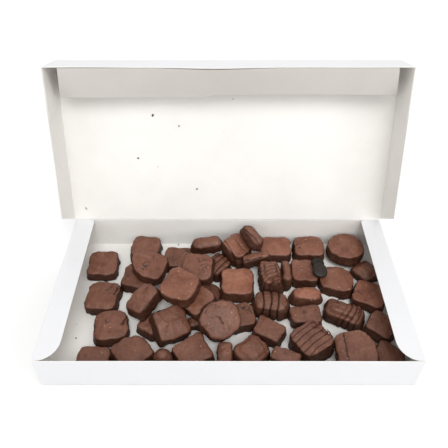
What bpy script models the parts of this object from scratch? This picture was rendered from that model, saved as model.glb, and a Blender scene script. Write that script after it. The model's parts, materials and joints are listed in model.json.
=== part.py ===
"""A wide, shallow carton of folded white board, its lid open, holding a heap of chocolate
coated brownies, cookies and fingers.

Metres, +Z up.  The origin is the middle of the tray's underside, +X runs along the long
side and -Y faces the person who opens the box.  The lid turns on the crease along the top
of the tray's back wall, and the flap inside the lid's front wall turns on its own crease.
"""

from math import cos, radians, sin

import bmesh
import bpy
from mathutils import Matrix, Vector, noise
from mathutils.bvhtree import BVHTree

MM = 0.001

# Board and tray
BOARD = 0.7 * MM            # thickness of the folded board
TRAY_LENGTH = 338 * MM
TRAY_DEPTH = 172 * MM
TRAY_HEIGHT = 40 * MM
FOLD = 0.8 * MM             # rounding of a folded outer edge
DUST_FLAP = 21 * MM         # width of the flaps folded in over the tray's ends
DUST_FLAP_FRONT = 19 * MM   # radius of a dust flap's front corner
DUST_FLAP_BACK = 4 * MM     # radius of its back corner

# Lid, described as it lies when shut and measured from its hinge
LID_OPEN = radians(108)     # how far the lid stands open
SIDE_PLAY = 1.0 * MM        # from the tray's end to the lid's side wall
FRONT_PLAY = 2.5 * MM       # from the tray's front to the lid's outer front face
LID_LIFT = 0.4 * MM         # from the tray's rim to the underside of the lid
HINGE_GAP = 0.5 * MM        # from the hinge's axis to the edge of the lid's panel
LID_WALL = 40.5 * MM        # full height of the lid's walls
SIDE_CUT = 20 * MM          # how far the side walls are cut back at the hinge end
GLUE_TAB = 50 * MM          # length of the tabs glued inside the lid's front corners
TAB_SLANT = 7 * MM
TAB_BOARD = 0.5 * MM

# The flap inside the lid's front wall
FLAP_BOARD = 0.6 * MM
FLAP_PLAY = 0.2 * MM        # from the flap, lying flat, to the wall
FLAP_OPEN = radians(56)     # how far the flap springs away from the wall
FLAP_LONG = 38 * MM         # height of its left half
FLAP_SHORT = 34.5 * MM      # height of its right half
FLAP_AT_FOLD = 312 * MM     # length along the crease
FLAP_AT_EDGE = 326 * MM     # length along the free edge
FLAP_SPLIT = -17 * MM       # where the left half ends

# Sweets
GAP = 0.45 * MM             # clear height left between a sweet and what carries it
ROUGH_GRID = 3 * MM         # spacing of the upright lines along which heights are compared
FINE_GRID = 1 * MM          # and of those that settle a sweet's final height
LEAN_STEPS = (0, -4, 4, -8, 8)          # leans tried around the one wanted, in degrees
LEAN_TURNS = (0, -20, 20, -40, 40)      # and directions tried around the one wanted
UNEVEN = 0.55 * MM          # how far the coating wanders from the plain form
CROWN_SHARE = 0.66          # size of the crown's flat against the top
RIM_LIMIT = (0.4, 0.25)     # the rim's radius never passes these shares of height and width
FOOT_RIM = 0.5              # radius of the foot's rim against the top's
LOWER_BY = 0.05 * MM        # a lean is better only when the sweet lies lower by this
UNEVEN_WAVE = 14 * MM       # length of the field's waves
UNEVEN_SEED = 1795408627    # which field it is, so that every build gives the same coatings

# A kind of sweet: corner radius as a share of its width, rim radius and crown height in
# millimetres, and how much narrower its top is than its foot.
KINDS = {
    "square": (0.23, 1.7, 0.7, 0.96),
    "sharp": (0.13, 1.8, 1.0, 0.93),
    "domed": (0.24, 3.4, 3.2, 0.88),
    "round": (0.47, 1.8, 0.8, 0.96),
    "eight": (0.36, 1.9, 1.0, 0.94),
    "finger": (0.42, 4.2, 1.0, 0.82),
    "bar": (0.18, 1.7, 0.6, 0.92),
    "barrel": (0.40, 5.0, 2.2, 0.84),
}

# One row for each sweet, lowest first: name, kind, place x and y, turn about the vertical,
# lean and the direction leant to, then length, width and thickness.  Millimetres, degrees.
SWEETS = [
    ("brownie_01", "square", -136, 47, 2, 0, 0, 33, 35, 12),
    ("brownie_02", "square", -129, 4, -2, 0, 0, 33, 36, 12),
    ("brownie_03", "square", -114, -31, 9, 0, 0, 34, 33, 12),
    ("brownie_04", "square", -124, -69, -3, 0, 0, 31, 30, 12),
    ("brownie_05", "sharp", -88, -63, 41, 0, 0, 32, 32, 13),
    ("brownie_06", "square", -92, 69, -4, 0, 0, 32, 31, 14),
    ("brownie_07", "square", -95, 29, -12, 0, 0, 34, 32, 12),
    ("brownie_08", "sharp", -76, -29, 56, 0, 0, 20, 22, 11),
    ("brownie_09", "square", -54, 56, -4, 0, 0, 34, 29, 12),
    ("bar_01", "bar", -29, -25, 8, 0, 0, 22, 10, 9),
    ("cookie_01", "round", -22, 8, 0, 0, 0, 27, 27, 9),
    ("brownie_10", "square", 12, -20, 8, 0, 0, 29, 28, 13),
    ("brownie_11", "square", 54, 70, 0, 0, 0, 34, 29, 14),
    ("brownie_12", "square", 91, 70, 2, 0, 0, 34, 29, 14),
    ("brownie_13", "square", 82, 36, -2, 0, 0, 28, 31, 14),
    ("brownie_14", "domed", 150, 39, 34, 0, 0, 27, 25, 13),
    ("brownie_15", "square", 146, 6, -22, 0, 0, 33, 31, 13),
    ("brownie_16", "sharp", 150, -31, -40, 0, 0, 27, 27, 13),
    ("cookie_02", "eight", 115, 25, -8, 0, 0, 37, 34, 13),
    ("barrel_01", "barrel", 44, -6, -8, 0, 0, 38, 27, 18),
    ("finger_01", "finger", 81, 6, -2, 0, 0, 35, 17, 14),
    ("brownie_17", "square", 77, -19, 2, 0, 0, 31, 20, 13),
    ("brownie_18", "sharp", 40, -36, -28, 0, 0, 29, 22, 13),
    ("brownie_19", "domed", -60, -68, 36, 0, 0, 13, 13, 19),
    ("bar_02", "bar", -3, -66, 88, 0, 0, 31, 12, 13),
    ("brownie_20", "square", 149, -64, -35, 0, 0, 26, 24, 12),
    ("striped_01", "square", -12, 45, 44, 0, 0, 28, 22, 13),
    ("brownie_21", "square", 10, 20, -2, 0, 0, 35, 35, 15),
    ("striped_02", "domed", 45, 27, 93, 0, 0, 34, 22, 24),
    ("finger_02", "finger", 62, 33, 90, 0, 0, 32, 10, 18),
    ("striped_03", "domed", 116, -16, -26, 0, 0, 41, 24, 16),
    ("cookie_03", "round", 131, 65, 0, 0, 0, 41, 38, 14),
    ("brownie_22", "domed", 22, -60, 42, 12, 270, 31, 29, 18),
    ("brownie_23", "bar", 52, -69, -24, 0, 0, 27, 16, 20),
    ("brownie_24", "sharp", -33, -61, 31, 0, 0, 33, 31, 16),
    ("brownie_25", "square", 120, -62, 2, 8, 230, 36, 38, 15),
    ("chip_01", "round", 97, 42, 0, 4, 60, 14, 15, 5),
    ("chip_02", "round", 97, 30, 0, 4, 300, 16, 17, 5),
    ("brownie_26", "sharp", -82, -8, 52, 24, 225, 32, 22, 13),
    ("brownie_27", "sharp", -58, -32, 30, 14, 290, 33, 31, 15),
    ("brownie_28", "square", -84, 35, -14, 14, 260, 37, 34, 12),
    ("brownie_29", "square", -31, 34, -12, 12, 275, 34, 31, 12),
    ("brownie_30", "square", -28, -9, 48, 20, 225, 30, 28, 12),
    ("finger_03", "finger", -24, 68, 16, 6, 250, 38, 17, 15),
    ("striped_04", "square", 10, 63, -40, 12, 50, 27, 26, 24),
    ("finger_04", "finger", 25, 68, -50, 14, 310, 30, 16, 13),
    ("bar_03", "bar", 33, 50, 10, 8, 190, 29, 10, 13),
    ("brownie_31", "square", -47, 2, -26, 14, 260, 35, 33, 12),
    ("cookie_04", "eight", -8, -30, 18, 22, 265, 38, 37, 12),
    ("striped_05", "square", 78, -50, 35, 0, 0, 34, 33, 20),
]

BOARD_WHITE = (0.90, 0.90, 0.91, 1.0)
MILK_CHOCOLATE = (0.17, 0.075, 0.05, 1.0)
DARK_CHOCOLATE = (0.035, 0.024, 0.02, 1.0)


# ---------------------------------------------------------------- scene and helpers

def clear_scene():
    for obj in list(bpy.data.objects):
        bpy.data.objects.remove(obj, do_unlink=True)


def new_collection(name):
    collection = bpy.data.collections.new(name)
    bpy.context.scene.collection.children.link(collection)
    return collection


def new_material(name, colour, roughness):
    material = bpy.data.materials.new(name)
    material.use_nodes = True
    shader = material.node_tree.nodes["Principled BSDF"]
    shader.inputs["Base Color"].default_value = colour
    shader.inputs["Roughness"].default_value = roughness
    shader.inputs["Metallic"].default_value = 0.0
    return material


def new_object(name, bm, collection, material=None):
    """Turns a bmesh into an object of the collection."""
    bmesh.ops.recalc_face_normals(bm, faces=bm.faces)
    mesh = bpy.data.meshes.new(name)
    bm.to_mesh(mesh)
    bm.free()
    obj = bpy.data.objects.new(name, mesh)
    collection.objects.link(obj)
    if material:
        mesh.materials.append(material)
    return obj


def block(low, high):
    """A bmesh box between two corners."""
    low, high = Vector(low), Vector(high)
    bm = bmesh.new()
    bmesh.ops.create_cube(bm, size=1)
    bmesh.ops.scale(bm, vec=high - low, verts=bm.verts)
    bmesh.ops.translate(bm, vec=(low + high) / 2, verts=bm.verts)
    return bm


def upright_edges(bm, test=lambda middle: True):
    """The vertical edges whose middle passes the test."""
    return [
        edge for edge in bm.edges
        if abs(edge.verts[0].co.x - edge.verts[1].co.x) < 1e-6
        and abs(edge.verts[0].co.y - edge.verts[1].co.y) < 1e-6
        and test((edge.verts[0].co + edge.verts[1].co) / 2)
    ]


def bevel(bm, edges, radius, segments):
    bmesh.ops.bevel(
        bm, geom=edges, offset=radius, segments=segments, profile=0.5, affect="EDGES"
    )


def push_face(bm, face):
    """Extrudes a face by nothing, and gives back the corners that are to be moved."""
    pushed = bmesh.ops.extrude_face_region(bm, geom=[face])
    if face.is_valid:
        bmesh.ops.delete(bm, geom=[face], context="FACES_ONLY")
    return [item for item in pushed["geom"] if isinstance(item, bmesh.types.BMVert)]


def combine(obj, other, operation, helpers):
    """Adds a Boolean of the operation, and turns the other object into its hidden tool."""
    for owner in list(other.users_collection):
        owner.objects.unlink(other)
    helpers.objects.link(other)
    other.hide_render = True
    other.display_type = "WIRE"
    other.parent = obj.parent
    modifier = obj.modifiers.new(other.name, "BOOLEAN")
    modifier.operation = operation
    modifier.solver = "EXACT"
    modifier.object = other


# ---------------------------------------------------------------- tray

def hollow_from(bm, side, wall, depth):
    """Hollows a closed box from its top (side 1) or its bottom (side -1)."""
    face = max(bm.faces, key=lambda f: side * f.calc_center_median().z)
    bmesh.ops.inset_region(bm, faces=[face], thickness=wall, use_even_offset=True)
    bmesh.ops.translate(bm, vec=(0, 0, -side * depth), verts=push_face(bm, face))


def dust_flap(side):
    """The flap folded inwards from the top of one end wall, its two free corners rounded."""
    outer = side * (TRAY_LENGTH / 2 - 0.2 * MM)
    inner = side * (TRAY_LENGTH / 2 - DUST_FLAP)
    reach = TRAY_DEPTH / 2 - 0.2 * MM
    bm = block(
        (min(outer, inner), -reach, TRAY_HEIGHT - BOARD),
        (max(outer, inner), reach, TRAY_HEIGHT),
    )
    bevel(bm, upright_edges(bm, lambda m: abs(m.x - inner) < MM and m.y < 0), DUST_FLAP_FRONT, 6)
    bevel(bm, upright_edges(bm, lambda m: abs(m.x - inner) < MM and m.y > 0), DUST_FLAP_BACK, 3)
    return bm


def make_tray(parts, helpers, material):
    half_length, half_depth = TRAY_LENGTH / 2, TRAY_DEPTH / 2
    bm = block((-half_length, -half_depth, 0), (half_length, half_depth, TRAY_HEIGHT))
    bevel(bm, upright_edges(bm), FOLD, 2)
    hollow_from(bm, 1, BOARD, TRAY_HEIGHT - BOARD)
    tray = new_object("tray", bm, parts, material)
    for side, name in ((-1, "dust_flap_left"), (1, "dust_flap_right")):
        combine(tray, new_object(name, dust_flap(side), helpers), "UNION", helpers)
    return tray


# ---------------------------------------------------------------- lid

LID_HALF = TRAY_LENGTH / 2 + SIDE_PLAY + BOARD      # outer half length
LID_REACH = TRAY_DEPTH + FRONT_PLAY                 # from the hinge to the outer front face
LID_TOP = LID_LIFT + BOARD                          # outer face above the hinge
LID_EDGE = LID_TOP - LID_WALL                       # free edge of the walls
CREASE_Y = -(LID_REACH - BOARD - FLAP_PLAY - FLAP_BOARD / 2)
CREASE_Z = LID_EDGE + 0.4 * MM


def sheared_block(low, high, slant):
    """A box whose face at high y leans: its upper edge is drawn back by slant."""
    bm = block(low, high)
    for vert in bm.verts:
        if vert.co.y > (low[1] + high[1]) / 2 and vert.co.z > (low[2] + high[2]) / 2:
            vert.co.y -= slant
    return bm


def hinge_end_cutter():
    """A wedge that opens the hinge end and slants the side walls' ends."""
    wide = LID_HALF + 5 * MM
    low = LID_EDGE - 5 * MM
    bm = block((-wide, -HINGE_GAP - BOARD, low), (wide, 8 * MM, LID_LIFT))
    for vert in bm.verts:
        if vert.co.y < 0 and vert.co.z < LID_LIFT - MM:
            vert.co.y -= SIDE_CUT
    return bm


def make_lid(parts, helpers, material, hinge):
    bm = block((-LID_HALF, -LID_REACH, LID_EDGE), (LID_HALF, -HINGE_GAP, LID_TOP))
    bevel(bm, upright_edges(bm, lambda m: m.y < -LID_REACH / 2), FOLD, 2)
    hollow_from(bm, -1, BOARD, LID_WALL - BOARD)
    lid = new_object("lid", bm, parts, material)
    lid.parent = hinge
    combine(lid, new_object("hinge_end", hinge_end_cutter(), helpers), "DIFFERENCE", helpers)
    front = -(LID_REACH - BOARD / 2)
    for side, name in ((-1, "glue_tab_left"), (1, "glue_tab_right")):
        inner = side * (LID_HALF - BOARD - TAB_BOARD)
        outer = side * (LID_HALF - BOARD / 2)
        bm = sheared_block(
            (min(inner, outer), front, LID_EDGE + 0.8 * MM),
            (max(inner, outer), front + GLUE_TAB, LID_LIFT + BOARD / 2),
            TAB_SLANT,
        )
        combine(lid, new_object(name, bm, helpers), "UNION", helpers)
    return lid


def make_lid_flap(parts, material, hinge):
    """The flap on the free edge of the lid's front wall, in two halves of unlike height."""
    start = 0.4 * MM
    half, spread = FLAP_AT_FOLD / 2, (FLAP_AT_EDGE - FLAP_AT_FOLD) / 2
    bm = block((-half, -FLAP_BOARD / 2, start), (half, FLAP_BOARD / 2, FLAP_LONG))
    for vert in bm.verts:
        if vert.co.z > FLAP_LONG / 2:
            vert.co.x += spread if vert.co.x > 0 else -spread
    step = MM
    for place in (FLAP_SPLIT - step, FLAP_SPLIT + step):
        bmesh.ops.bisect_plane(
            bm, geom=bm.verts[:] + bm.edges[:] + bm.faces[:],
            plane_co=(place, 0, 0), plane_no=(1, 0, 0),
        )
    for vert in bm.verts:
        if vert.co.x > FLAP_SPLIT and vert.co.z > FLAP_LONG / 2:
            vert.co.z = FLAP_SHORT
    flap = new_object("lid_flap", bm, parts, material)
    flap.parent = hinge
    flap.location = (0, CREASE_Y, CREASE_Z)
    flap.rotation_euler = (-FLAP_OPEN, 0, 0)
    return flap


# ---------------------------------------------------------------- sweets

def rounded_slab(size, corner, rim, crown, top_share):
    """A slab with round corners, soft rims and a raised middle, its foot narrower still."""
    length, width, height = size
    bm = block((-length / 2, -width / 2, 0), (length / 2, width / 2, height))
    radius = corner * min(length, width)
    segments = 3 if corner > 0.45 else 2
    bevel(bm, upright_edges(bm), radius, segments)
    top = max(bm.faces, key=lambda f: f.calc_center_median().z)
    rim = min(rim, height * RIM_LIMIT[0], width * RIM_LIMIT[1])
    bevel(bm, list(top.edges), rim, 2)
    foot = min(bm.faces, key=lambda f: f.calc_center_median().z)
    bevel(bm, list(foot.edges), rim * FOOT_RIM, 1)
    top = max(bm.faces, key=lambda f: f.calc_center_median().z)
    for vert in push_face(bm, top):
        vert.co.x *= CROWN_SHARE
        vert.co.y *= CROWN_SHARE
        vert.co.z += crown
    for vert in bm.verts:
        share = min(1.0, vert.co.z / height)
        vert.co.x *= 1 + (top_share - 1) * share
        vert.co.y *= 1 + (top_share - 1) * share
    return bm


def make_uneven(bm, seed):
    """Moves the points a little, by a smooth field that differs from sweet to sweet."""
    for vert in bm.verts:
        where = vert.co / UNEVEN_WAVE + Vector((7.3 * seed, 2.9 * seed, 1.7 * seed))
        vert.co += noise.noise_vector(where) * UNEVEN


def turned(turn, lean, lean_to):
    """The rotation of a sweet: a turn about the vertical, then a lean."""
    axis = Vector((-sin(lean_to), cos(lean_to), 0))
    return Matrix.Rotation(lean, 4, axis) @ Matrix.Rotation(turn, 4, "Z")


def tree_of(bm):
    return BVHTree.FromBMesh(bm)


def bounds_of(bm):
    low = Vector(min(v.co[i] for v in bm.verts) for i in range(3))
    high = Vector(max(v.co[i] for v in bm.verts) for i in range(3))
    return low, high


def rest_height(bm, settled, grid):
    """How far the sweet must rise to clear the tray's floor and every settled sweet."""
    low, high = bounds_of(bm)
    rise = BOARD + GAP - low.z
    near = [
        tree for tree, a, b in settled
        if a.x < high.x and b.x > low.x and a.y < high.y and b.y > low.y
    ]
    if not near:
        return rise
    own = tree_of(bm)
    points = [vert.co.copy() for vert in bm.verts]
    columns = int((high.x - low.x) / grid) + 1
    rows = int((high.y - low.y) / grid) + 1
    for i in range(columns + 1):
        for j in range(rows + 1):
            points.append(Vector((low.x + i * grid, low.y + j * grid, 0)))
    up, down = Vector((0, 0, 1)), Vector((0, 0, -1))
    for point in points:
        below = own.ray_cast(Vector((point.x, point.y, -1)), up)[0]
        if below is None:
            continue
        for tree in near:
            above = tree.ray_cast(Vector((point.x, point.y, 1)), down)[0]
            if above is not None:
                rise = max(rise, above.z + GAP - below.z)
    return rise


def placed(plain, row, lean, lean_to):
    """A copy of the plain sweet, turned, leaned and set over its place."""
    bm = plain.copy()
    turn = turned(radians(row[4]), radians(lean), radians(lean_to))
    bmesh.ops.transform(bm, verts=bm.verts, matrix=turn)
    bmesh.ops.translate(bm, verts=bm.verts, vec=(row[2] * MM, row[3] * MM, 0))
    return bm


def best_lean(plain, row, settled):
    """Among leans near the one wanted, the one at which the sweet lies lowest."""
    wanted, wanted_to = row[5], row[6]
    best = None
    for lean in [wanted + step for step in LEAN_STEPS if wanted + step >= 0]:
        for lean_to in [wanted_to + step for step in LEAN_TURNS]:
            bm = placed(plain, row, lean, lean_to)
            middle = sum(vert.co.z for vert in bm.verts) / len(bm.verts)
            height = middle + rest_height(bm, settled, ROUGH_GRID)
            bm.free()
            if best is None or height < best[0] - LOWER_BY:
                best = (height, lean, lean_to)
    return best[1:]


def make_sweets(parts, milk, dark):
    noise.seed_set(UNEVEN_SEED)
    settled = []
    for number, row in enumerate(SWEETS):
        name, kind = row[:2]
        length, width, height = row[7:]
        corner, rim, crown, top_share = KINDS[kind]
        size = (length * MM, width * MM, height * MM - crown * MM)
        plain = rounded_slab(size, corner, rim * MM, crown * MM, top_share)
        make_uneven(plain, number + 1)
        lean, lean_to = best_lean(plain, row, settled) if row[5] else (0, 0)
        bm = placed(plain, row, lean, lean_to)
        plain.free()
        rise = rest_height(bm, settled, FINE_GRID)
        bmesh.ops.translate(bm, verts=bm.verts, vec=(0, 0, rise))
        bm.normal_update()
        settled.append((tree_of(bm), *bounds_of(bm)))
        new_object(name, bm, parts, dark if name.startswith("chip") else milk)


# ---------------------------------------------------------------- the whole

def main():
    clear_scene()
    parts = new_collection("box_of_brownies")
    helpers = new_collection("helpers")
    board = new_material("white_board", BOARD_WHITE, 0.55)
    milk = new_material("milk_chocolate", MILK_CHOCOLATE, 0.45)
    dark = new_material("dark_chocolate", DARK_CHOCOLATE, 0.4)
    make_tray(parts, helpers, board)
    hinge = bpy.data.objects.new("lid_hinge", None)
    parts.objects.link(hinge)
    hinge.location = (0, TRAY_DEPTH / 2, TRAY_HEIGHT)
    hinge.rotation_euler = (-LID_OPEN, 0, 0)
    make_lid(parts, helpers, board, hinge)
    make_lid_flap(parts, board, hinge)
    make_sweets(parts, milk, dark)


main()
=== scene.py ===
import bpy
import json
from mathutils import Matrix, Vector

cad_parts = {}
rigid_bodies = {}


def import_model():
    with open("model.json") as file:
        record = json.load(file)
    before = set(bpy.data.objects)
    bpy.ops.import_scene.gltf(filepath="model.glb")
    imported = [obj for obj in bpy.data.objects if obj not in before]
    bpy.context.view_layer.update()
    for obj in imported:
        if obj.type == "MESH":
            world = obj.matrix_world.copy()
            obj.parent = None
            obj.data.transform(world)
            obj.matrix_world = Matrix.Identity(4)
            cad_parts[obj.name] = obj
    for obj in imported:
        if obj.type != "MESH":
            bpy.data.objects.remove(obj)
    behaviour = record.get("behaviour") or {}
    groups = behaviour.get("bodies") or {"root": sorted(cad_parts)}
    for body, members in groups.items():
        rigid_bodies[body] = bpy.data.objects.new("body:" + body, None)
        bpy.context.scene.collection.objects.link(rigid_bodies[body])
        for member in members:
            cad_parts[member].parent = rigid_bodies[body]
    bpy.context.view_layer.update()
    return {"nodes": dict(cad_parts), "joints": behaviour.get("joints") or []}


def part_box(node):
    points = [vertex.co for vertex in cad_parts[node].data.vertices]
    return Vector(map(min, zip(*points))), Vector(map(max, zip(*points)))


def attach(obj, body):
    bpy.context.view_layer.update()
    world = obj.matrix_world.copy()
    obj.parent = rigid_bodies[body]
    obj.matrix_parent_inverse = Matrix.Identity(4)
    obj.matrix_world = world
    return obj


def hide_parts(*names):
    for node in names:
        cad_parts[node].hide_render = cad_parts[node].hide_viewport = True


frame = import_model()

"""A shallow white card box, its lid standing open, with a loose heap of chocolate coated
brownies, cookies and fingers: the folded board, the coatings, the crumbs, light and camera."""

import json
from math import cos, pi, radians, sin

import bmesh
import bpy
import numpy as np
from mathutils import Matrix, Vector, noise

MM = 0.001

# The folded board, in the words and sizes of the box's construction
BOARD = 0.7 * MM
FOLD = 0.9 * MM             # outer rounding of a crease
FOLD_STEPS = 4
DUST_FLAP = 21 * MM         # width of the flaps folded in over the tray's ends
DUST_FLAP_FRONT = 19 * MM   # radius of a dust flap's front corner
DUST_FLAP_BACK = 4 * MM     # radius of its back corner
SIDE_PLAY = 1.0 * MM        # from the tray's end to the lid's side wall
FRONT_PLAY = 2.5 * MM       # from the tray's front to the lid's outer front face
LID_LIFT = 0.4 * MM         # from the tray's rim to the underside of the lid
HINGE_GAP = 0.5 * MM        # from the hinge's axis to the edge of the lid's panel
LID_WALL = 40.5 * MM        # full height of the lid's walls
SIDE_CUT = 20 * MM          # how far the side walls are cut back at the hinge end
GLUE_TAB = 50 * MM          # length of the tabs glued inside the lid's front corners
TAB_SLANT = 7 * MM
TAB_BOARD = 0.5 * MM
TAB_GAP = 0.02 * MM         # glue between a tab and the wall
TAB_SHORT = 0.8 * MM        # from a tab to the lid's free edge
TAB_HELD = 0.7              # share of a tab's length that the glue holds flat
TAB_CURL = 4 * MM           # how sharply the rest curls off the wall
FLAP_BOARD = 0.6 * MM
FLAP_PLAY = 0.2 * MM        # from the flap, lying flat, to the wall
FLAP_RISE = 0.4 * MM        # from the lid's free edge to the flap's crease
FLAP_START = 0.3 * MM       # from the crease to the ply
FLAP_OPEN = radians(56)     # how far the flap springs away from the wall
FLAP_LONG = 38 * MM         # height of its left half
FLAP_SHORT = 34.5 * MM      # height of its right half
FLAP_AT_FOLD = 312 * MM     # length along the crease
FLAP_AT_EDGE = 326 * MM     # length along the free edge
FLAP_SPLIT = -17 * MM       # where the left half ends
FLAP_STEP = 1.5 * MM        # half the width of the slant between the two halves
FLAP_CORNER = 3 * MM
TRIM = 0.12 * MM            # rounding of a cut edge of board
TAB_TRIM = 0.1 * MM

# How far hand-folded board strays from flat
PANEL_GRID = 12 * MM        # spacing of the cuts that let a panel bow
TAB_GRID = 10 * MM
WALL_BOW = 0.25 * MM        # of the tray's walls and dust flaps
SIDE_WANDER = 0.25 * MM     # of the lid's side walls
EDGE_WANDER = 0.3 * MM      # of the lid's front wall
EDGE_SAG = 1.3 * MM         # of the free edge of that wall
SAG_AT = -12 * MM
SAG_HALF = 60 * MM
FLAP_FOLLOWS = 1.25         # how far the flap goes with the sag, against the wall
FLAP_WANDER = 0.9 * MM
FLAP_BOW = 0.8 * MM

# Coatings; heights and depths in millimetres, lengths of waves as waves a metre
FINE = 0.55 * MM            # spacing of the points on a striped sweet
PLAIN = 0.8 * MM            # and on a plain one
SOFTEN = 1                  # rounds of smoothing that melt the edges of a sweet
COAT = 0.35                 # how much the coating adds all round
COAT_WAVES = ((70, 0.6, 0.8), (190, 0.55, 0.35), (560, 0.28, 0.0))  # waves, height, more at the sides
OUTLINE_WAVES = ((1.1, 1.3), (3.2, 0.3))    # how closely a sweet's outline wanders, how far
STRAY = 1.5                 # how far a mark's edges stray
RAGGED = 0.8                # how uneven the lips of pits and cracks are
RIB_STRAY = (90, 0.9)       # how closely bands of drizzle wander, how far
RIB_CROWN = 0.35            # height of a band against the depth of its grooves
FOOT_AT = 0.10              # share of a sweet's height where its coating flares most
FOOT_HALF = 0.16
FOOT_FLARE = 0.45
FOOT_WAVES = (150, 0.9)
SIDE_PAINTED_SHADE = 0.64          # painted shade: how much darker a sweet's sides are painted than its top
# painted shade at a sweet's foot: how much darker the lowest part of its sides is painted
FOOT_PAINTED_SHADE = 0.6
FOOT_SHADE = 0.3            # share of the height over which the painted shade at the foot fades out
DARK_DEPTH = 1.05           # depth at which the painted shade of a hollow is darkest
CHIP_COAT = 0.5             # a dark drop's coating, and its share of the painted side shade, against a sweet's
CHIP_SIDE = 0.2
ROOM_GAP = 0.08 * MM        # between a coating and the tray's board

TRAY_LOW, TRAY_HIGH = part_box("tray")
HINGE = Vector(frame["joints"][0]["pos_m"])
LID_OPEN = radians(frame["joints"][0]["range_deg"][1])
ROOM_LOW = np.array(TRAY_LOW) + BOARD + ROOM_GAP          # the room inside the tray
ROOM_HIGH = np.array(TRAY_HIGH) - (BOARD + ROOM_GAP, BOARD + ROOM_GAP, 0.1 * MM)
LID_HALF = TRAY_HIGH.x + SIDE_PLAY + BOARD
LID_REACH = TRAY_HIGH.y - TRAY_LOW.y + FRONT_PLAY
LID_TOP = LID_LIFT + BOARD
LID_EDGE = LID_TOP - LID_WALL
CREASE = Vector((0, -(LID_REACH - BOARD - FLAP_PLAY - FLAP_BOARD / 2), LID_EDGE + FLAP_RISE))


# ---------------------------------------------------------------- small tools

def block(low, high):
    """A closed bmesh box between two corners."""
    low, high = Vector(low), Vector(high)
    bm = bmesh.new()
    bmesh.ops.create_cube(bm, size=1)
    bmesh.ops.scale(bm, vec=high - low, verts=bm.verts)
    bmesh.ops.translate(bm, vec=(low + high) / 2, verts=bm.verts)
    return bm


def bevel(bm, geom, offset, segments, affect="EDGES"):
    bmesh.ops.bevel(
        bm, geom=geom, offset=offset, segments=segments, profile=0.5, affect=affect, material=-1
    )


def cut(bm, place, normal, **clear):
    """Cuts every face that a plane crosses."""
    bmesh.ops.bisect_plane(
        bm, geom=bm.verts[:] + bm.edges[:] + bm.faces[:], plane_co=place, plane_no=normal, **clear
    )


def cut_grid(bm, spacing, axes):
    """Cuts a sheet across at even places, so that its panels can bow."""
    for axis in axes:
        low = min(v.co[axis] for v in bm.verts)
        high = max(v.co[axis] for v in bm.verts)
        count = max(2, round((high - low) / spacing))
        normal = Vector(1.0 if i == axis else 0.0 for i in range(3))
        for step in range(1, count):
            cut(bm, normal * (low + (high - low) * step / count), normal)


def piece_from(name, bm, materials):
    """A new object of a bmesh, with its materials."""
    mesh = bpy.data.meshes.new(name)
    bm.to_mesh(mesh)
    bm.free()
    obj = bpy.data.objects.new(name, mesh)
    bpy.context.scene.collection.objects.link(obj)
    for material in materials:
        mesh.materials.append(material)
    return obj


def apply_modifiers(obj):
    """Leaves the finished mesh on the object, and no modifier."""
    graph = bpy.context.evaluated_depsgraph_get()
    mesh = bpy.data.meshes.new_from_object(obj.evaluated_get(graph))
    obj.modifiers.clear()
    old, obj.data = obj.data, mesh
    bpy.data.meshes.remove(old)
    mesh.name = obj.name


def shade_smooth(mesh):
    mesh.polygons.foreach_set("use_smooth", [True] * len(mesh.polygons))


def smooth_step(low, high, value):
    share = np.clip((value - low) / (high - low), 0, 1)
    return share * share * (3 - 2 * share)


def bell(distance):
    """One at nothing, falling smoothly to nothing at one."""
    return np.clip(1 - distance * distance, 0, 1) ** 2


# ---------------------------------------------------------------- materials

def new_group(name, inputs, outputs):
    """An empty shader node group with its sockets, its input node and its output node."""
    group = bpy.data.node_groups.new(name, "ShaderNodeTree")
    for label, kind, value in inputs:
        socket = group.interface.new_socket(label, in_out="INPUT", socket_type=kind)
        socket.default_value = value
    for label, kind in outputs:
        group.interface.new_socket(label, in_out="OUTPUT", socket_type=kind)
    start = group.nodes.new("NodeGroupInput")
    end = group.nodes.new("NodeGroupOutput")
    return group, start, end


def add(tree, kind, **settings):
    """A node of a kind: sockets by name with spaces as underscores, other words as properties."""
    node = tree.nodes.new(kind)
    for key, value in settings.items():
        label = key.replace("_", " ")
        if label in node.inputs:
            node.inputs[label].default_value = value
        else:
            setattr(node, key, value)
    return node


def maths(tree, operation, first, second, clamp=False):
    """A Math node; each operand is a socket or a number."""
    node = tree.nodes.new("ShaderNodeMath")
    node.operation = operation
    node.use_clamp = clamp
    for socket, value in zip(node.inputs, (first, second)):
        if isinstance(value, (int, float)):
            socket.default_value = value
        else:
            tree.links.new(value, socket)
    return node.outputs[0]


def blend_colours(tree, share, first, second, mode="MIX"):
    """A Mix node for colours; the share and the colours are sockets or values."""
    node = tree.nodes.new("ShaderNodeMix")
    node.data_type = "RGBA"
    node.blend_type = mode
    for socket, value in zip((node.inputs[0], node.inputs[6], node.inputs[7]),
                             (share, first, second)):
        if isinstance(value, (int, float, tuple)):
            socket.default_value = value
        else:
            tree.links.new(value, socket)
    return node.outputs[2]


def spread(tree, value, low, high, to_low=0.0, to_high=1.0):
    """A Map Range node that clamps."""
    node = tree.nodes.new("ShaderNodeMapRange")
    for socket, number in zip(node.inputs[1:5], (low, high, to_low, to_high)):
        socket.default_value = number
    tree.links.new(value, node.inputs[0])
    return node.outputs[0]


def field(tree, where, scale, detail=2.0, roughness=0.5, distortion=0.0):
    """A noise of the object's own coordinates."""
    node = add(tree, "ShaderNodeTexNoise", Detail=detail, Roughness=roughness,
               Distortion=distortion)
    if isinstance(scale, (int, float)):
        node.inputs["Scale"].default_value = scale
    else:
        tree.links.new(scale, node.inputs["Scale"])
    tree.links.new(where, node.inputs["Vector"])
    return node.outputs["Fac"]


def grey_of(tree, value):
    """The grey whose three parts are a socket's value."""
    grey = tree.nodes.new("ShaderNodeCombineColor")
    for socket in grey.inputs:
        tree.links.new(value, socket)
    return grey.outputs[0]


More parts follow.
